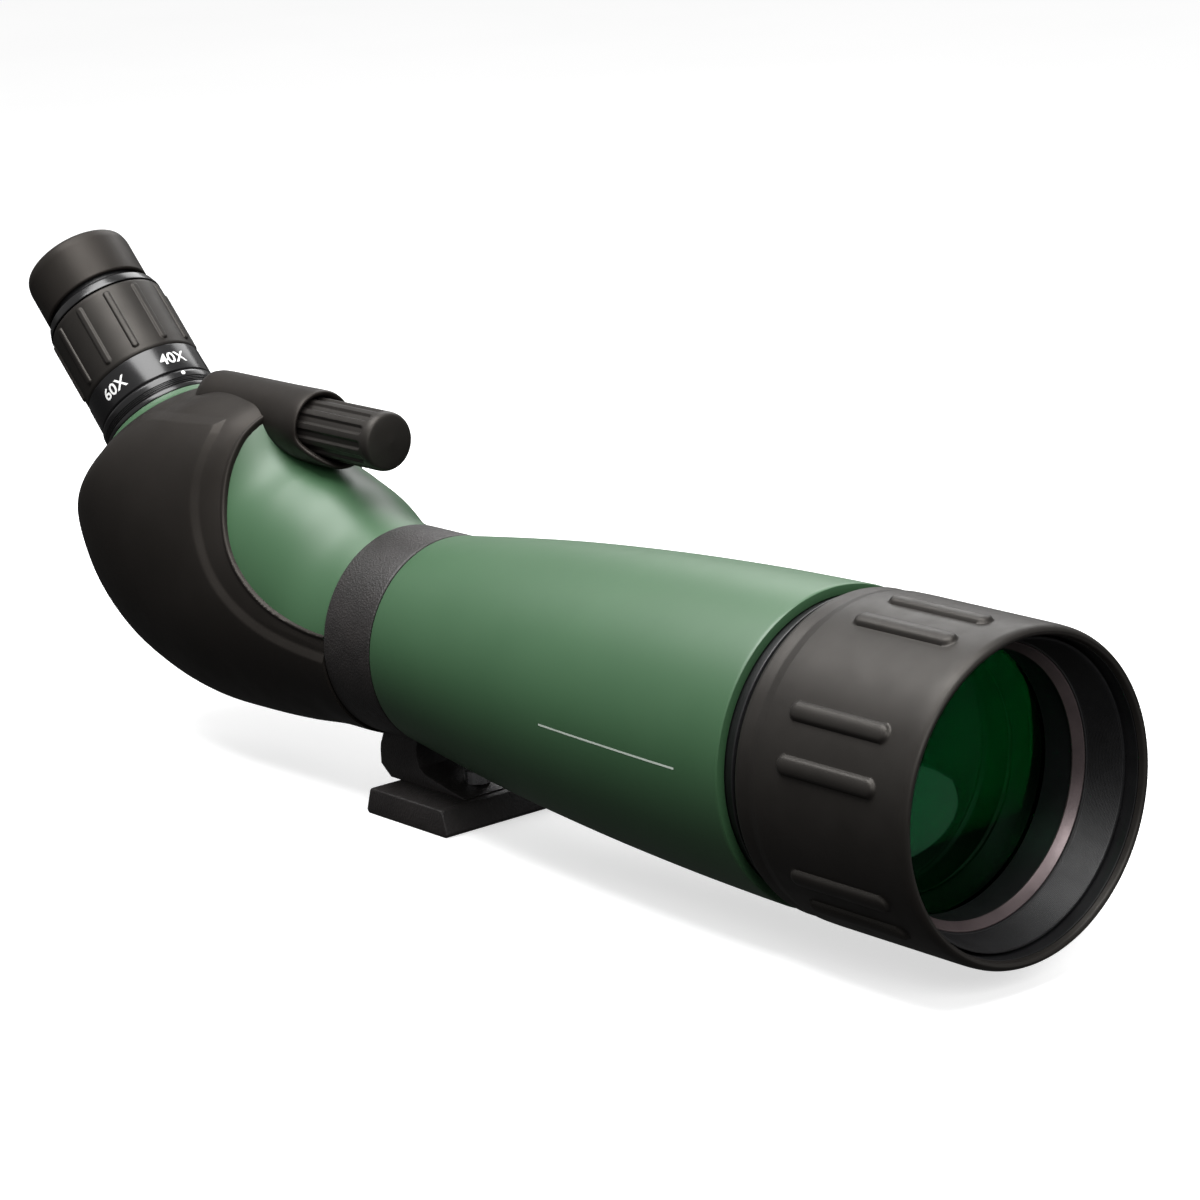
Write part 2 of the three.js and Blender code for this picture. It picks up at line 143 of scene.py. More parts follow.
def glass(name, colour, tint, ior=1.5, streaks=40):
    """Coated lens glass: a faint uneven tint in the body and a coloured reflection."""
    m = bpy.data.materials.new(name)
    m.use_nodes = True
    nodes, links = m.node_tree.nodes, m.node_tree.links
    shader = nodes["Principled BSDF"]
    where = coordinates(nodes, links)
    deeper = tuple(0.8 * c for c in colour)
    links.new(ramp(nodes, links, noise(nodes, links, where, streaks, 2.0), [(0.3, deeper), (0.7, colour)]),
              shader.inputs["Base Color"])
    shader.inputs["Roughness"].default_value = 0.03
    shader.inputs["Transmission Weight"].default_value = 1.0
    shader.inputs["IOR"].default_value = ior
    shader.inputs["Specular Tint"].default_value = (*tint, 1)
    return m


green_paint = finish("satin_green_paint", (0.029, 0.082, 0.034), (0.034, 0.091, 0.039), (0.45, 0.50), grain=2600,
                     grain_depth=0.05, patch=14, specular=0.6, coat=0.06, coat_rough=0.36)
rubber = finish("armour_rubber", (0.0090, 0.0077, 0.0068), (0.0115, 0.0098, 0.0087), (0.44, 0.54), grain=3200,
                grain_depth=0.12, patch=30, specular=0.27, tint=(1.0, 0.92, 0.84))
grip_rubber = finish("grip_rubber", (0.0100, 0.0090, 0.0082), (0.0130, 0.0116, 0.0106), (0.40, 0.50), grain=3000,
                     grain_depth=0.12, patch=45, specular=0.34, tint=(1.0, 0.94, 0.87))
wrinkle_paint = finish("wrinkle_paint", (0.0120, 0.0105, 0.0102), (0.0180, 0.0155, 0.0150), (0.42, 0.56), grain=1500,
                       grain_depth=0.5, patch=120, specular=0.5, wrinkle=1300, wrinkle_depth=0.45,
                       edge=(0.035, 0.031, 0.03))
anodised = finish("black_anodised", (0.0050, 0.0049, 0.0052), (0.0070, 0.0068, 0.0072), (0.20, 0.24), grain=5000,
                  grain_depth=0.01, patch=18, specular=0.45, coat=0.1, coat_rough=0.2)
inner_black = finish("matt_inner_black", (0.006, 0.006, 0.0066), (0.009, 0.009, 0.0098), (0.38, 0.5), grain=2000,
                     grain_depth=0.15, patch=60, specular=0.45)
ring_metal = finish("warm_ring_metal", (0.10, 0.078, 0.080), (0.14, 0.108, 0.110), (0.3, 0.4), grain=2600,
                    grain_depth=0.1, patch=90, metallic=0.55, specular=0.5)
steel = finish("brushed_steel", (0.42, 0.42, 0.43), (0.55, 0.55, 0.56), (0.24, 0.36), grain=1800, grain_depth=0.1,
               patch=120, metallic=1.0)
brass = finish("turned_brass", (0.50, 0.36, 0.15), (0.60, 0.45, 0.20), (0.26, 0.38), grain=1800, grain_depth=0.1,
               patch=90, metallic=1.0)
nylon = finish("white_nylon", (0.62, 0.60, 0.55), (0.70, 0.68, 0.63), (0.5, 0.6), grain=1200, grain_depth=0.1)
white_ink = finish("white_ink", (0.70, 0.70, 0.69), (0.78, 0.78, 0.77), (0.45, 0.55), grain=2000, grain_depth=0.05)
grey_ink = finish("grey_ink", (0.46, 0.52, 0.46), (0.54, 0.60, 0.54), (0.45, 0.55), grain=2000, grain_depth=0.05)
coated = glass("coated_glass", (0.003, 0.12, 0.040), (0.05, 1.0, 0.38), 1.52, streaks=12)
clear = glass("clear_glass", (0.80, 0.92, 0.86), (0.9, 1.0, 0.9), 1.52)
rear_coated = glass("eye_coated_glass", (0.30, 0.36, 0.55), (0.35, 0.45, 1.0), 1.6)

CAD_FINISH = {
    "green_paint": green_paint, "black_rubber": rubber, "black_anodised": anodised, "black_cast": wrinkle_paint,
    "bare_steel": steel, "brass": brass, "coated_glass": coated, "clear_glass": clear, "nylon": nylon,
}
for entry in frame["record"]["subparts"]:
    node = frame["nodes"][entry["node"]]
    node.data.materials.clear()
    node.data.materials.append(CAD_FINISH[entry["material_slot"]])


# ---------------------------------------------------------------- mesh helpers
def piece(name, points, faces, material, body, replaces=(), slot=None, angle=35):
    mesh = bpy.data.meshes.new(name)
    mesh.from_pydata((np.asarray(points) / 1000).tolist(), [], faces)
    mesh.materials.append(material)
    b = bmesh.new()
    b.from_mesh(mesh)
    bmesh.ops.remove_doubles(b, verts=b.verts, dist=1e-7)
    bmesh.ops.recalc_face_normals(b, faces=b.faces)
    b.to_mesh(mesh)
    b.free()
    mesh.shade_smooth()
    mesh.set_sharp_from_angle(angle=math.radians(angle))
    o = bpy.data.objects.new(name, mesh)
    bpy.context.scene.collection.objects.link(o)
    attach(o, body)
    if replaces:
        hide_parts(*replaces)
    return o


def grid_faces(rows, columns, wrap_rows=False, wrap_columns=True):
    faces = []
    for r in range(rows if wrap_rows else rows - 1):
        s = (r + 1) % rows
        for c in range(columns if wrap_columns else columns - 1):
            d = (c + 1) % columns
            faces.append((r * columns + c, r * columns + d, s * columns + d, s * columns + c))
    return faces


def softened(profile, radius=0.4, steps=4, closed=True):
    """Each corner of a profile becomes a small curve."""
    points = [np.array(p[:2], float) for p in profile]
    out = []
    for i, p in enumerate(points):
        if not closed and i in (0, len(points) - 1):
            out.append(p)
            continue
        before, after = points[i - 1], points[(i + 1) % len(points)]
        reach_a, reach_b = np.linalg.norm(before - p), np.linalg.norm(after - p)
        r = profile[i][2] if len(profile[i]) > 2 else radius
        a = p + (before - p) / reach_a * min(r, 0.45 * reach_a)
        b = p + (after - p) / reach_b * min(r, 0.45 * reach_b)
        for t in np.linspace(0, 1, steps + 1):
            out.append((1 - t) ** 2 * a + 2 * t * (1 - t) * p + t * t * b)
    return np.array(out)


def about_axis(along, radius, angle):
    """Angle 0 is the top, and it grows towards -Y, the right-hand side."""
    return np.stack([along, -radius * np.sin(angle), AXIS + radius * np.cos(angle)], -1)


def about_eye(along, radius, angle):
    return (EYE + along[..., None] * EYE_ALONG + (radius * np.cos(angle))[..., None] * EYE_UP
            - (radius * np.sin(angle))[..., None] * SIDE)


def about_knob(along, radius, angle):
    return np.stack([along, -radius * np.sin(angle), KNOB_CENTRE + radius * np.cos(angle)], -1)


def about_clamp(along, radius, angle):
    return np.stack([CLAMP_X + radius * np.sin(angle), along, AXIS + radius * np.cos(angle)], -1)


def turned(name, profile, place, material, body, sides=144, corner=0.4, steps=4, **rest):
    p = softened(profile, corner, steps)
    angles = np.arange(sides) * 2 * math.pi / sides
    along, a = np.meshgrid(p[:, 0], angles, indexing="ij")
    radius = np.repeat(p[:, 1:2], sides, 1)
    points = place(along, radius, a).reshape(-1, 3)
    return piece(name, points, grid_faces(len(p), sides, wrap_rows=True), material, body, **rest)


def smooth(x):
    x = np.clip(x, 0, 1)
    return x * x * (3 - 2 * x)


def relief(name, outside, inside, place, material, body, sides, step, height, fine=(), **rest):
    """A turned sleeve whose outer skin stands up by height(along, angle, radius) millimetres."""
    out = softened(outside, 0.6, 5, closed=False)
    dense = [out[0]]
    for a, b in zip(out[:-1], out[1:]):
        middle = (a[0] + b[0]) / 2
        size = next((f[2] for f in fine if f[0] <= middle <= f[1]), step)
        count = max(1, int(round(np.linalg.norm(b - a) / size)))
        dense.extend(a + (b - a) * t for t in np.linspace(0, 1, count + 1)[1:])
    skin = len(dense)
    rows = np.vstack([dense, softened(inside, 0.3, 2, closed=False)])
    angles = np.arange(sides) * 2 * math.pi / sides
    along, a = np.meshgrid(rows[:, 0], angles, indexing="ij")
    radius = np.repeat(rows[:, 1:2], sides, 1)
    radius[:skin] += height(along[:skin], a[:skin], radius[:skin])
    points = place(along, radius, a).reshape(-1, 3)
    return piece(name, points, grid_faces(len(rows), sides, wrap_rows=True), material, body, **rest)


def pill(along, angle, radius, start, end, centre, half, edge):
    """1 inside a round-ended bar that runs along the axis, falling to 0 over its edge."""
    across = (np.mod(angle - centre + math.pi, 2 * math.pi) - math.pi) * radius
    lengthwise = np.clip(along, start + half, end - half)
    inwards = np.clip((half - np.hypot(along - lengthwise, across)) / edge, 0, 1)
    return np.sqrt(1 - (1 - inwards) ** 2) * smooth(inwards / 0.25)


def slab(name, outline, y0, y1, bevel, material, body, **rest):
    """A side outline in XZ extruded across Y, with rounded edges."""
    b = bmesh.new()
    ring = [b.verts.new((x / 1000, y0 / 1000, z / 1000)) for x, z in outline]
    face = b.faces.new(ring)
    moved = bmesh.ops.extrude_face_region(b, geom=[face])
    bmesh.ops.translate(b, vec=(0, (y1 - y0) / 1000, 0),
                        verts=[v for v in moved["geom"] if isinstance(v, bmesh.types.BMVert)])
    bmesh.ops.recalc_face_normals(b, faces=b.faces)
    bmesh.ops.bevel(b, geom=list(b.edges), offset=bevel / 1000, segments=3, profile=0.5, affect="EDGES",
                    clamp_overlap=True)
    points = np.array([v.co[:] for v in b.verts]) * 1000
    b.verts.index_update()
    faces = [tuple(v.index for v in f.verts) for f in b.faces]
    b.free()
    return piece(name, points, faces, material, body, **rest)


# ---------------------------------------------------------------- main tube, collar and sleeve
tube_line = [(-1.7, 41.7), (-1.0, 42.3), (30, 46.3), (60, 49.8), (92, 52.8), (130, 55.6), (170, 57.7), (200, 58.7),
             (218.0, 59.1), (219.0, 58.8)]


def curve_through(points, per_span=10):
    """Catmull-Rom through points of any dimension."""
    p = np.array(points, float)
    p = np.vstack([2 * p[0] - p[1], p, 2 * p[-1] - p[-2]])
    out = []
    for i in range(1, len(p) - 2):
        for t in np.linspace(0, 1, per_span, endpoint=False):
            a, b, c, d = p[i - 1], p[i], p[i + 1], p[i + 2]
            out.append(0.5 * (2 * b + (c - a) * t + (2 * a - 5 * b + 4 * c - d) * t * t
                              + (3 * b - 3 * c + d - a) * t ** 3))
    out.append(p[-2])
    return np.array(out)


tube_skin = [tube_line[0], tube_line[1], *map(tuple, curve_through(tube_line[1:9], 6)[1:]), tube_line[9]]
tube_profile = [*tube_skin, (219, 55.4), (170, 54.6), (92, 49.7), (30, 43.2), (16, 41.3), (16, 37.2), (-1.7, 37.2)]
turned("main_tube_skin", tube_profile, about_axis, green_paint, "scope", sides=192, corner=0.2, steps=2,
       replaces=["main_tube"], slot="green_paint")

turned("collar_ring", [(-31.5, 38.2, 0.3), (-2.3, 38.2, 0.3), (-2.3, 42.2, 0.9), (-31.5, 42.2, 0.9)], about_axis,
       wrinkle_paint, "mount", sides=160, replaces=["mount_collar"], slot="black_cast")
slab("collar_arm", [(-31.2, 33), (-31.4, 29.5), (-32.4, 26.8), (-33.6, 24.4), (-34.1, 21.5), (-34.1, 15.8), (-28, 11.1),
                    (19.5, 11.1), (19.4, 11.6), (10, 13.3), (-5.5, 16.6), (-8.8, 18.6), (-10.2, 22), (-10.2, 26),
                    (-8.6, 33)], -15.5, 15.5, 0.9, wrinkle_paint, "mount",
     slot="black_cast")
turned("collar_boss", [(40.6, 3.4), (51, 3.4), (51, 7), (40.6, 7.6)],
       about_clamp, wrinkle_paint, "mount", sides=48, slot="black_cast")
foot = [(-26, 1.4), (-24.8, 0), (24.8, 0), (26, 1.4), (23.3, 10), (22.4, 11), (-22.4, 11), (-23.3, 10)]
slab("foot_block", foot, -30, 30, 0.7, wrinkle_paint, "mount", replaces=["foot_plate"], slot="black_cast")


def knurled(name, place, radius, start, end, depth, material, body, sides, dome, step=0.7, **rest):
    """A closed knob cut by depth(along, angle, radius) millimetres of grooves."""
    p = softened([(start, 0), (start, radius - 0.6, 0.5), (start + 0.5, radius, 0.5), *dome], 0.6, 5, closed=False)
    dense = [p[0]]
    for a, b in zip(p[:-1], p[1:]):
        n = max(1, int(round(np.linalg.norm(b - a) / step)))
        dense.extend(a + (b - a) * t for t in np.linspace(0, 1, n + 1)[1:])
    rows = np.array(dense)
    rows[0, 1] = rows[-1, 1] = 0.01
    angles = np.arange(sides) * 2 * math.pi / sides
    along, a = np.meshgrid(rows[:, 0], angles, indexing="ij")
    r = np.repeat(rows[:, 1:2], sides, 1)
    r = r - depth(along, a, r)
    points = place(along, r, a).reshape(-1, 3)
    faces = grid_faces(len(rows), sides)
    faces += [tuple(range(sides)), tuple(range((len(rows) - 1) * sides, len(rows) * sides))]
    return piece(name, points, faces, material, body, **rest)


knurled("clamp_screw_head", about_clamp, 10, 51.7, 61.5,
        lambda s, a, r: 0.8 * (0.5 - 0.5 * np.cos(24 * a)) * smooth((s - 52.6) / 0.8) * smooth((60.9 - s) / 0.8)
        * (r > 7), anodised, "clamp", 240, replaces=["clamp_screw"], slot="black_anodised",
        dome=[(60.2, 9.9), (61.4, 8.6), (61.5, 0)])
turned("clamp_screw_shank", [(39.4, 0.4), (39.4, 2.6), (40, 2.95), (52, 2.95), (52, 0.4)], about_clamp, steel,
       "clamp", sides=32, slot="bare_steel")

# ---------------------------------------------------------------- prism housing and its armour
PIVOT = np.array([-32.0, 0.0, 219.6 + AXIS])
FAN_T = 85.6
SECTIONS = [  # fan angle, near, far, half width, armour thickness, distance along the eyepiece axis, slimmer top
    (0, 178.1, 261.1, 41.5, 1.2, FAN_T, 0.08), (5, 173.6, 262.5, 41.8, 1.6, FAN_T, 0.17),
    (10, 168, 267.5, 42.5, 2.2, FAN_T, 0.06), (16, 166.5, 275.5, 43.5, 2.4, FAN_T, 0),
    (22, 166, 285.5, 44.5, 2.5, FAN_T, 0), (28, 156.5, 294.5, 45, 2.5, FAN_T, 0),
    (33.5, 161.5, 299, 45, 2.5, FAN_T, 0), (38.5, 172, 296, 44, 2.5, FAN_T, 0), (45, 186, 283, 41.5, 2.4, 76, 0),
    (45, 191, 271, 37, 2, 80.5, 0), (45, 194.5, 260, 32, 1.5, 84, 0), (45, 195.9, 253.9, 29, 1, 86.8, 0),
]


def housing_frame(s):
    fan = np.radians(s[:, 0])
    out = np.stack([-np.sin(fan), 0 * fan, -np.cos(fan)], -1)
    along = np.stack([-np.cos(fan), 0 * fan, np.sin(fan)], -1)
    hub = PIVOT + along * (s[:, 5] - FAN_T)[:, None]
    return hub, out


def housing_skin(s, angles, grow):
    hub, out = housing_frame(s)
    middle, reach = (s[:, 1] + s[:, 2]) / 2, (s[:, 2] - s[:, 1]) / 2
    ca, sa = np.cos(angles)[None, :], np.sin(angles)[None, :]
    r = middle[:, None] + (reach[:, None] + grow) * ca
    y = (s[:, 3:4] + grow) * sa * (1 - s[:, 6:7] * np.clip(-ca, 0, 1))
    return hub[:, None, :] + out[:, None, :] * r[..., None] + y[..., None] * SIDE


rows = np.array(SECTIONS, float)
spine = curve_through(rows, 14)
ROUND = 200
sweep = np.arange(ROUND) * 2 * math.pi / ROUND
skin = housing_skin(spine, sweep, 0.0)
inner = housing_skin(spine, sweep, -3.0)
shell = np.concatenate([skin, inner[::-1]])
piece("prism_housing_skin", shell.reshape(-1, 3), grid_faces(len(shell), ROUND, wrap_rows=True), green_paint, "scope",
      replaces=["prism_housing"], slot="green_paint", angle=50)


def signed_distance(x, z, line):
    """Distance to an open line of points in the side view; positive on its left-hand side."""
    p = np.stack([x, z], -1).reshape(-1, 2)
    best = np.full(len(p), 1e9)
    sign = np.ones(len(p))
    for a, b in zip(line[:-1], line[1:]):
        d = b - a
        t = np.clip(((p - a) @ d) / max(d @ d, 1e-9), 0, 1)
        off = p - (a + t[:, None] * d)
        dist = np.hypot(off[:, 0], off[:, 1])
        side = d[0] * off[:, 1] - d[1] * off[:, 0]
        closer = dist < best - 1e-9
        best = np.where(closer, dist, best)
        sign = np.where(closer, np.where(side >= 0, 1.0, -1.0), sign)
    return (best * sign).reshape(np.shape(x))


def swoop(centre_x, reach, drop, power, steps=40):
    """A quarter of a squarish arc in the side view, from straight below its centre to straight behind it."""
    t = np.linspace(0, math.pi / 2, steps + 1)
    return np.stack([centre_x - reach * np.sin(t) ** (2 / power), SWOOP_TOP - drop * np.cos(t) ** (2 / power)], -1)


SWOOP_TOP = 64.0                 # height above the axis where both arcs stand upright
# front edge of the armour in the side view, from the collar up to the focus housing
front_edge = np.vstack([[(-10, 4.8)], swoop(-32, 74.6, 59.2, 2.1),
                        curve_through([(-106.6, SWOOP_TOP), (-106.2, 72), (-103.6, 80), (-99, 83), (-86, 86),
                                       (-70, 90)], 6)[1:]])
# step between the low front band and the raised rear panel
panel_line = np.vstack([curve_through([(-168, 74.8), (-145, 76.5), (-125, 77.3), (-118, 77)], 8), [(-116.7, 72)],
                        swoop(-20, 96.7, 66.3, 2.5)[::-1], [(-10, -2.6)]])
ARMOUR_ROUND = 560
fine = curve_through(rows, 44)
turns = np.arange(ARMOUR_ROUND) * 2 * math.pi / ARMOUR_ROUND
base = housing_skin(fine, turns, np.zeros((len(fine), 1)))
side_x, side_z = base[..., 0], base[..., 2] - AXIS
inside = signed_distance(side_x, side_z, front_edge)
neck = 82.2 - ((side_x - EYE[0]) * EYE_ALONG[0] + side_z * EYE_ALONG[2])
inside = np.minimum(inside, neck)
raised = np.clip((0.2 - signed_distance(side_x, side_z, panel_line)) / 3.4, 0, 1)
thickness = np.repeat(fine[:, 4:5], ARMOUR_ROUND, 1)
rise = np.sqrt(np.clip(1 - (1 - np.clip((inside + 0.9) / 2.0, 0, 1)) ** 2, 0, 1))
grow = -1.4 + (thickness + 1.4) * rise + (1.7 * raised - 1.2) * smooth(inside / 1.5) * smooth(neck / 9)
grow = np.vstack([np.full((1, ARMOUR_ROUND), -1.4), grow])
fine = np.vstack([fine[:1], fine])
armour = housing_skin(fine, turns, grow)
keep = np.vstack([inside[:1] > 1.0, inside > -2.6]).reshape(-1)
armour_faces = [f for f in grid_faces(len(fine), ARMOUR_ROUND) if keep[list(f)].all()]
used = np.unique(np.array(armour_faces))
renumber = np.full(len(keep), -1)
renumber[used] = np.arange(len(used))
piece("armour_skin", armour.reshape(-1, 3)[used], [tuple(renumber[list(f)].tolist()) for f in armour_faces], rubber,
      "scope", replaces=["rear_armour"], slot="black_rubber", angle=60)

# focus housing: a hood over the knob whose front edge scoops back at the sides and reaches forward underneath
around = np.arange(240) * 2 * math.pi / 240
top, low = np.clip(np.cos(around), 0, 1), np.clip(-np.cos(around), 0, 1)
rim = -80.2 - 0.8 * top + 14.5 * smooth(low ** 1.2)
hood = []
for back, size in [(-157.4, 8.4), (-157.2, 10.8), (-156.2, 13.0), (-154.2, 14.4), (-151, 15.0), (-146, 15.2)]:
    hood.append((np.full(240, back), np.full(240, size)))
for share in np.linspace(0, 1, 24)[1:]:
    hood.append((-146 + (rim + 144.2) * share, np.full(240, 15.2)))
for forward, size in [(-1.2, 15.1), (-0.7, 14.95), (-0.25, 14.7), (-0.02, 14.35), (-0.1, 13.9), (-0.5, 13.35),
                      (-1.0, 12.95), (-1.6, 12.7), (-3, 12.5)]:
    hood.append((rim + forward, np.full(240, size)))
for share in np.linspace(0, 1, 10)[1:]:
    hood.append((rim - 3 + (-99 - rim) * share, np.full(240, 12.5)))
hood.append((np.full(240, -102.4), np.full(240, 11.8)))
hood.append((np.full(240, -102.5), np.full(240, 0.5)))
along = np.array([h[0] for h in hood])
radius = np.array([h[1] for h in hood])
flank = np.clip(np.sin(around) ** 2 + low ** 2, 0, 1)
outer = radius > 12.8
radius -= np.where(outer, 2.2 * flank[None] * (1 - smooth((along + 106) / 22)), 0)
points = about_knob(along, radius, np.repeat(around[None], len(hood), 0)).reshape(-1, 3)
faces = grid_faces(len(hood), 240) + [tuple(range(240))]
piece("focus_hood", points, faces, rubber, "scope", slot="black_rubber", angle=60)


def knob_grooves(along, angle, radius):
    wave = np.mod(angle * 12 / (2 * math.pi) + 0.5, 1) - 0.5
    across = wave * 2 * math.pi / 12 * 12.0
    end = KNOB_FRONT - 5.6
    distance = np.hypot(np.maximum(along - (end - 2.0), 0), across)
    return 0.95 * smooth((2.15 - distance) / 1.1) * (radius > 10.5)


KNOB_BACK, KNOB_FRONT = (1000 * v[0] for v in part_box("focus_knob"))
knurled("focus_knob_grip", about_knob, 12.0, KNOB_BACK, KNOB_FRONT, knob_grooves, grip_rubber, "focus", 288,
        replaces=["focus_knob"], slot="black_rubber", step=0.6,
        dome=[(KNOB_FRONT - 1.9, 12.05, 3.0), (KNOB_FRONT - 0.9, 8.4, 3.0), (KNOB_FRONT, 0)])

# ---------------------------------------------------------------- lens cell, glass and dewshield
threads = []
for k in range(24):
    at = 290 + k * 0.6
    reach = 51.6 + (at - 289.6) / 14.8 * 2.0
    threads += [(at, reach, 0.02), (at + 0.3, reach + 0.32, 0.02)]
cell_line = [(196, 49.2), (254.5, 49.2), (254.5, 51), (289.4, 51), (289.6, 51.5), *threads, (304.4, 53.9, 0.1),
             (304.4, 54.7, 0.1), (227.6, 54.8), (227.6, 55.4), (225.2, 55.4), (224.9, 57.0), (224.0, 57.0), (223.7, 55.4),
             (220.0, 55.4), (219.3, 55.2), (219.3, 54.9), (197, 54.4)]
turned("lens_cell_barrel", cell_line, about_axis, inner_black, "scope", sides=192, corner=0.15, steps=2,
       replaces=["lens_cell"], slot="black_anodised")
turned("retaining_ring_barrel", [(272.4, 48.3), (285.4, 48.3), (285.4, 50.7), (272.4, 50.7)], about_axis, inner_black,
       "scope", sides=160, corner=0.2, replaces=["retaining_ring"], slot="black_anodised")
turned("retaining_ring_face", [(285.5, 47.7), (286.1, 47.6), (289.2, 50.4), (289.1, 50.9), (285.5, 50.9)], about_axis,
       ring_metal, "scope", sides=160, corner=0.15, slot="black_anodised")


def sag(r, curve):
    return curve - math.sqrt(curve * curve - r * r)


def lens(name, front, front_curve, back, back_curve, rim, place, material, body, sides=128, **rest):
    """Positive curves bulge forwards, negative curves bulge backwards."""
    r = [0.01, *np.linspace(rim / 10, rim, 10)]
    line = [(front - math.copysign(sag(v, abs(front_curve)), front_curve), v, 0.0) for v in r]
    line += [(back - math.copysign(sag(v, abs(back_curve)), back_curve), v, 0.0) for v in reversed(r)]
    return turned(name, line, place, material, body, sides=sides, steps=1, corner=0.0, angle=30, **rest)


lens("objective_front_glass", 275.2, 330, 261.8, -300, 50.6, about_axis, coated, "scope",
     replaces=["objective_crown"], slot="coated_glass")
lens("objective_rear_glass", 261.1, -305, 255.9, 2000, 50.6, about_axis, clear, "scope",
     replaces=["objective_flint"], slot="clear_glass")

# the twelve ribs stand in six pairs; angles from the top
RIB_ANGLES = [math.radians(a) for a in (2.5, 19, 58.5, 76.5, 117, 131.5, 179, 196, 239, 256, 299, 316)]


def shield_ribs(along, angle, radius):
    total = np.zeros_like(along)
    for centre in RIB_ANGLES:
        total = np.maximum(total, pill(along, angle, radius, 249.6, 297.4, centre, 3.8, 3.8))
    return 2.0 * total * (radius > 59.5)


turned("dewshield_liner", [(230, 55.9), (309, 55.9), (309, 57.4), (230, 57.4)], about_axis, inner_black, "dewshield",
       sides=160, corner=0.2, replaces=["dewshield_tube"], slot="black_anodised")
relief("dewshield_sleeve",
       [(228.0, 57.6), (228.0, 58.7), (229.6, 59.45), (232.4, 59.35), (235.4, 59.15), (239.5, 59.85), (246, 60.0),
        (249, 60.0, 0), (254, 60.0, 0), (293, 60.0, 0), (298, 60.0, 0), (306, 60.0, 1.5), (309.4, 59.75, 1.0),
        (311.3, 58.9, 0.8), (312.0, 57.7, 0.6), (311.4, 56.6, 0.5), (309.5, 56.0)],
       [(309.4, 57.6), (228.1, 57.55)], about_axis, grip_rubber, "dewshield", 720, 1.6, shield_ribs,
       fine=[(249, 254, 0.42), (293, 298, 0.42)], replaces=["dewshield_grip"], slot="black_rubber", angle=50)

# ---------------------------------------------------------------- eyepiece
turned("eyepiece_seat", [(78, 18.9), (87, 18.9), (87, 25.6), (80, 25.6), (80, 22.5), (78, 22.5)], about_eye, anodised,
       "scope", sides=120, corner=0.3, replaces=["eyepiece_flange"], slot="black_anodised")
index_line = [(87.4, 19), (96.6, 19), (96.6, 26.8, 0.4), (95.6, 27.25, 0.3), (93.2, 27.3, 0.15), (92.9, 26.95, 0.12),
              (92.5, 27.3, 0.12), (92.1, 26.95, 0.12), (91.7, 27.35, 0.12), (91.2, 26.9, 0.12), (90.8, 27.4, 0.12),
              (90.3, 26.9, 0.15), (89.8, 27.7, 0.3), (88.0, 27.9, 0.4), (87.4, 27.3, 0.3)]
turned("index_ring_turned", index_line, about_eye, anodised, "scope", sides=160, corner=0.2, replaces=["index_ring"],
       slot="black_anodised", angle=50)
zoom_line = [(97, 18.8), (152.2, 18.8), (152.2, 23.9, 0.4), (151.3, 25.0, 0.6), (148.0, 26.1, 0.6), (147.1, 26.3, 0.3),
             (147.1, 23), (110.9, 23), (110.9, 26.35, 0.3), (97.7, 26.5, 0.3), (97, 25.8, 0.3)]
turned("zoom_ring_band", zoom_line, about_eye, anodised, "zoom", sides=160, corner=0.25, replaces=["zoom_ring"],
       slot="black_anodised")


def grip_ribs(along, angle, radius):
    total = np.zeros_like(along)
    for k in range(12):
        total = np.maximum(total, pill(along, angle, radius, 114.2, 144.4, math.radians(-3 + 30 * k), 1.55, 1.0))
    return 0.85 * total * (radius > 25.9)


relief("zoom_grip_sleeve", [(111.3, 23.4), (111.3, 25.6, 0.5), (112.3, 26.2, 0.7), (113.6, 26.2, 0), (117, 26.25, 0),
                            (141.6, 26.3, 0), (145.2, 26.25, 0), (146.2, 26.1, 0.5), (146.9, 25.5, 0.5), (146.9, 23.5)],
       [(146.8, 23.3), (111.4, 23.3)], about_eye, grip_rubber, "zoom", 520, 1.2, grip_ribs,
       fine=[(113, 117, 0.3), (141.6, 145.2, 0.3)], replaces=["zoom_grip"], slot="black_rubber", angle=50)
turned("eyecup_inner_sleeve", [(152.6, 18.2), (168, 18.2), (168, 21.3), (152.6, 21.3)], about_eye, inner_black,
       "eyecup_body", sides=120, corner=0.25, replaces=["eyecup_sleeve"], slot="black_anodised")
turned("eyecup_rubber", [(154.8, 22.4), (157.4, 22.4, 0.1), (157.6, 21.6, 0.1), (174, 21.6, 0.8), (175.2, 17.8, 0.8),
                         (177.4, 17.3, 0.8), (178.3, 18.8, 0.8), (178.2, 21.0, 1.2), (176.9, 23.0, 1.2),
                         (173.6, 23.8, 1.2), (155.4, 23.8, 0.4), (154.8, 23.2, 0.3)], about_eye, rubber,
       "eyecup_body", sides=144, corner=0.4, steps=6, replaces=["eyecup"], slot="black_rubber", angle=50)
lens("eye_lens_glass", 158.4, 48, 151.2, -60, 13.3, about_eye, rear_coated, "scope", sides=96, replaces=["eye_lens"],
     slot="coated_glass")
turned("eye_lens_holder", [(152.3, 13.7), (157.6, 13.7), (157.6, 12.8, 0.2), (158.8, 12.8, 0.4), (158.8, 17.6, 0.4),
                           (152.3, 17.6)], about_eye, anodised, "scope", sides=120, corner=0.25,
       replaces=["eye_lens_cell"], slot="black_anodised")
turned("eyepiece_tube", [(62, 16.2), (150, 16.2), (150, 14.2), (152, 14.2), (152, 18.4), (62, 18.4)], about_eye,
       anodised, "scope", sides=120, corner=0.3, replaces=["eyepiece_barrel"], slot="black_anodised")


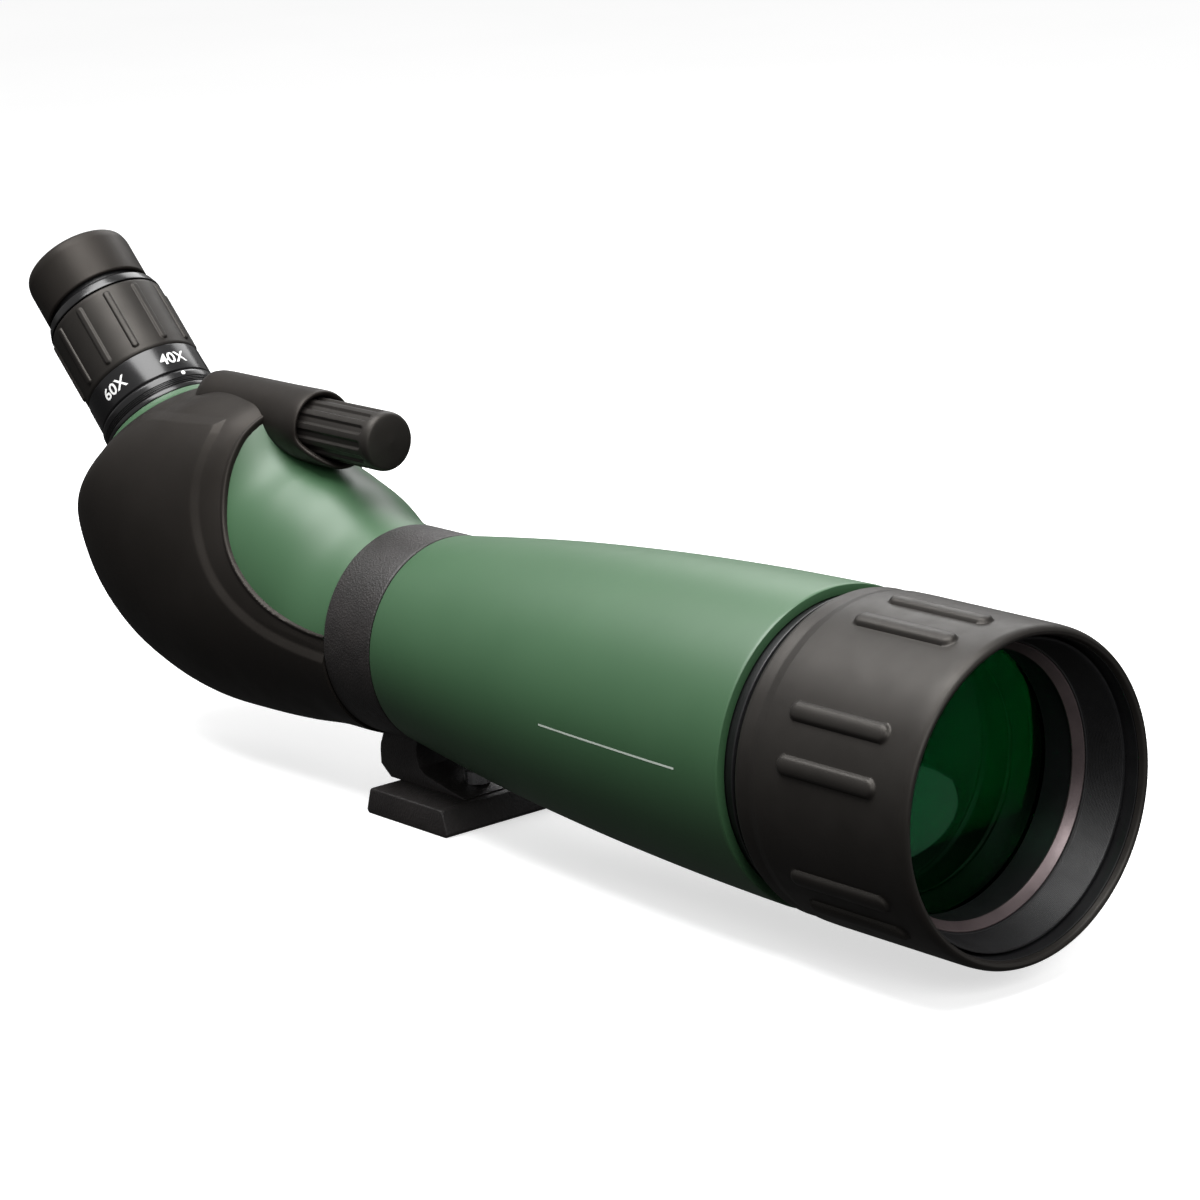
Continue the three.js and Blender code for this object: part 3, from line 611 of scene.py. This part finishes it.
def engraved(name, text, height, place, along, angle, radius, material, body, slot):
    """Painted figures wrapped on a turned surface: text reads across the axis, upright along it."""
    curve = bpy.data.curves.new(name, "FONT")
    curve.body, curve.size, curve.align_x, curve.align_y = text, height / 0.70, "CENTER", "CENTER"
    curve.offset = 0.12
    source = bpy.data.objects.new(name + "_source", curve)
    bpy.context.scene.collection.objects.link(source)
    mesh = bpy.data.meshes.new_from_object(source.evaluated_get(bpy.context.evaluated_depsgraph_get()))
    bpy.data.objects.remove(source)
    bpy.data.curves.remove(curve)
    b = bmesh.new()
    b.from_mesh(mesh)
    bpy.data.meshes.remove(mesh)
    bmesh.ops.triangulate(b, faces=b.faces)
    for _ in range(3):
        long = [e for e in b.edges if e.calc_length() > 1.4]
        if long:
            bmesh.ops.subdivide_edges(b, edges=long, cuts=1)
            bmesh.ops.triangulate(b, faces=b.faces)
    flat = np.array([v.co[:] for v in b.verts])
    b.verts.index_update()
    faces = [tuple(v.index for v in f.verts) for f in b.faces]
    b.free()
    centre = (flat.max(0) + flat.min(0)) / 2
    across, up = flat[:, 0] - centre[0], flat[:, 1] - centre[1]
    points = place(along + up, np.full(len(flat), radius), angle - across / radius)
    return piece(name, points, faces, material, body, slot=slot)


for figure, degrees in (("20X", -62.3), ("40X", 1.0), ("60X", 64.3)):
    engraved("scale_" + figure, figure, 5.2, about_eye, 103.9, math.radians(degrees), 26.56, white_ink, "zoom",
             "black_anodised")
dot = np.linspace(0, 2 * math.pi, 24, endpoint=False)
dot_points = about_eye(95.0 + 0.95 * np.cos(dot), np.full(24, 27.36), math.radians(0.8) + 0.95 * np.sin(dot) / 27.3)
piece("index_dot", dot_points, [tuple(range(24))], white_ink, "scope", slot="black_anodised")

# a plain painted line on the right-hand side of the tube
line_x = np.linspace(117, 196, 60)
tube_radius = np.interp(line_x, [p[0] for p in tube_skin], [p[1] for p in tube_skin]) + 0.06
edge_low = about_axis(line_x, tube_radius, np.full(60, math.radians(88.6)))
edge_high = about_axis(line_x, tube_radius, np.full(60, math.radians(88.6) + 0.75 / 57))
piece("tube_line", np.vstack([edge_low, edge_high]), grid_faces(2, 60, wrap_columns=False), grey_ink, "scope",
      slot="green_paint")

# ---------------------------------------------------------------- floor, light, camera
world = bpy.data.worlds.new("studio")
world.use_nodes = True
sky, wires = world.node_tree.nodes, world.node_tree.links
rise = sky.new("ShaderNodeSeparateXYZ")
wires.new(sky.new("ShaderNodeTexCoord").outputs["Generated"], rise.inputs["Vector"])
wires.new(ramp(sky, wires, rise.outputs["Z"], [(0.0, (0.05, 0.05, 0.05)), (0.12, (0.30, 0.30, 0.30)),
                                               (1.0, (0.50, 0.50, 0.50))]), sky["Background"].inputs["Color"])
backdrop = sky.new("ShaderNodeBackground")
backdrop.inputs["Color"].default_value = (1.0, 1.0, 1.0, 1)
choose = sky.new("ShaderNodeMixShader")
wires.new(sky.new("ShaderNodeLightPath").outputs["Is Camera Ray"], choose.inputs["Fac"])
wires.new(sky["Background"].outputs["Background"], choose.inputs[1])
wires.new(backdrop.outputs["Background"], choose.inputs[2])
wires.new(choose.outputs["Shader"], sky["World Output"].inputs["Surface"])
bpy.context.scene.world = world

floor_mesh = bpy.data.meshes.new("floor")
floor_mesh.from_pydata([(-6, -6, 0), (6, -6, 0), (6, 6, 0), (-6, 6, 0)], [], [(0, 1, 2, 3)])
floor_mesh.materials.append(finish("pale_floor", (0.70, 0.70, 0.70), (0.73, 0.73, 0.73), (0.7, 0.85), grain=400,
                                   grain_depth=0.02, patch=3, specular=0.1))
floor_shader = floor_mesh.materials[0].node_tree.nodes["Principled BSDF"]
floor_shader.inputs["Emission Color"].default_value = (1.0, 1.0, 1.0, 1)
floor_shader.inputs["Emission Strength"].default_value = 0.62
floor = bpy.data.objects.new("floor", floor_mesh)
floor.visible_diffuse = floor.visible_glossy = False
bpy.context.scene.collection.objects.link(floor)


def softbox(name, place, aim, width, height, power):
    data = bpy.data.lights.new(name, "AREA")
    data.shape, data.size, data.size_y, data.energy = "RECTANGLE", width, height, power
    o = bpy.data.objects.new(name, data)
    o.location = place
    o.rotation_euler = (Vector(aim) - Vector(place)).to_track_quat("-Z", "Y").to_euler()
    bpy.context.scene.collection.objects.link(o)
    return o


softbox("key", (0.05, -0.25, 1.15), (0.05, 0, 0.08), 1.5, 0.7, 30)
softbox("front", (1.5, -0.6, 0.9), (0.0, 0, 0.1), 0.8, 0.6, 12)
glow = softbox("lens_glow", (0.415, 0.045, 0.006), (0.275, -0.03, 0.06), 0.15, 0.07, 0.012)
glow.data.shape = "ELLIPSE"
glow.visible_camera = False
softbox("rim", (-0.6, 0.9, 0.9), (0.0, 0, 0.1), 0.8, 0.6, 6)

camera_data = bpy.data.cameras.new("camera")
camera_data.lens, camera_data.sensor_width, camera_data.clip_start = 120, 36, 0.05
camera = bpy.data.objects.new("camera", camera_data)
AZIMUTH, ELEVATION, ROLL = (math.radians(a) for a in (-39.69, 14.53, 2.66))
back = Vector((math.cos(ELEVATION) * math.cos(AZIMUTH), math.cos(ELEVATION) * math.sin(AZIMUTH), math.sin(ELEVATION)))
level = Vector((-math.sin(AZIMUTH), math.cos(AZIMUTH), 0))
right = level * math.cos(ROLL) - back.cross(level) * math.sin(ROLL)
turn = Matrix((right, back.cross(right), back)).transposed().to_4x4()
camera.matrix_world = Matrix.Translation((1.2100, -0.9298, 0.4785)) @ turn
bpy.context.scene.collection.objects.link(camera)
bpy.context.scene.camera = camera
bpy.context.scene.view_settings.view_transform = "Standard"
